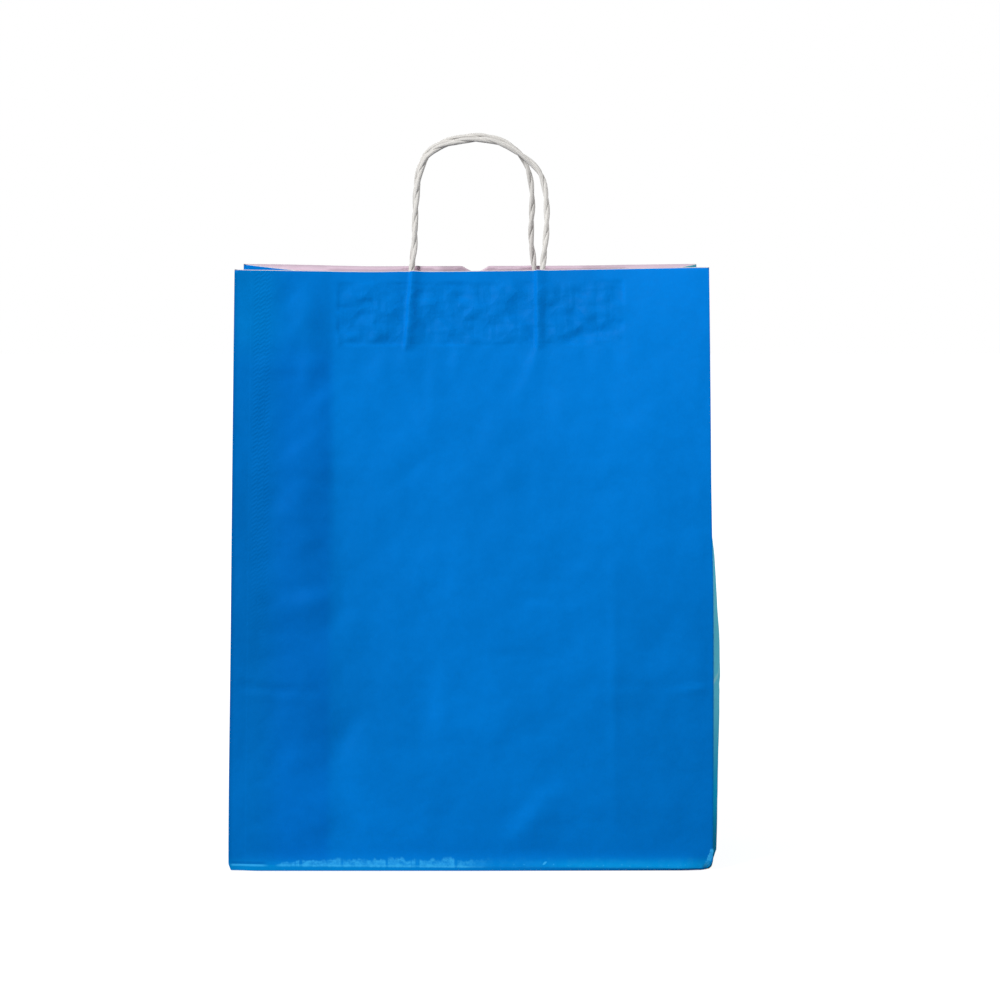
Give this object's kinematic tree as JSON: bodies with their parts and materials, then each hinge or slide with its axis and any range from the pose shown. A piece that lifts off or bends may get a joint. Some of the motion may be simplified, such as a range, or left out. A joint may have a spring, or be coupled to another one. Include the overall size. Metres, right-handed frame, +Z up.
{
  "type": "paper carrier bag",
  "caption": "Standing block-bottom paper carrier bag with gusseted sides, a printed blue outside, a thumb notch and twisted paper cord handles.",
  "frame": {"origin": "on the floor, under the middle of the bag's own box, with the handles left out", "axes": "+Z up, +Y from the front panel to the back panel with the thumb notch, +X to the right of someone who looks at the front panel"},
  "size_m": [0.3263, 0.12, 0.4892],
  "materials": {
    "printed_paper": "kraft paper printed solid blue outside, satin ink, white inside",
    "plain_paper": "unprinted white kraft paper, matt",
    "cord_paper": "white twisted paper cord, matt"
  },
  "bodies": {
    "root": {"bag_body": "printed_paper", "front_patch_backing": "plain_paper", "front_patch_cover": "plain_paper", "front_handle": "cord_paper", "back_patch_backing": "plain_paper", "back_patch_cover": "plain_paper", "back_handle": "cord_paper"}
  },
  "joints": []
}
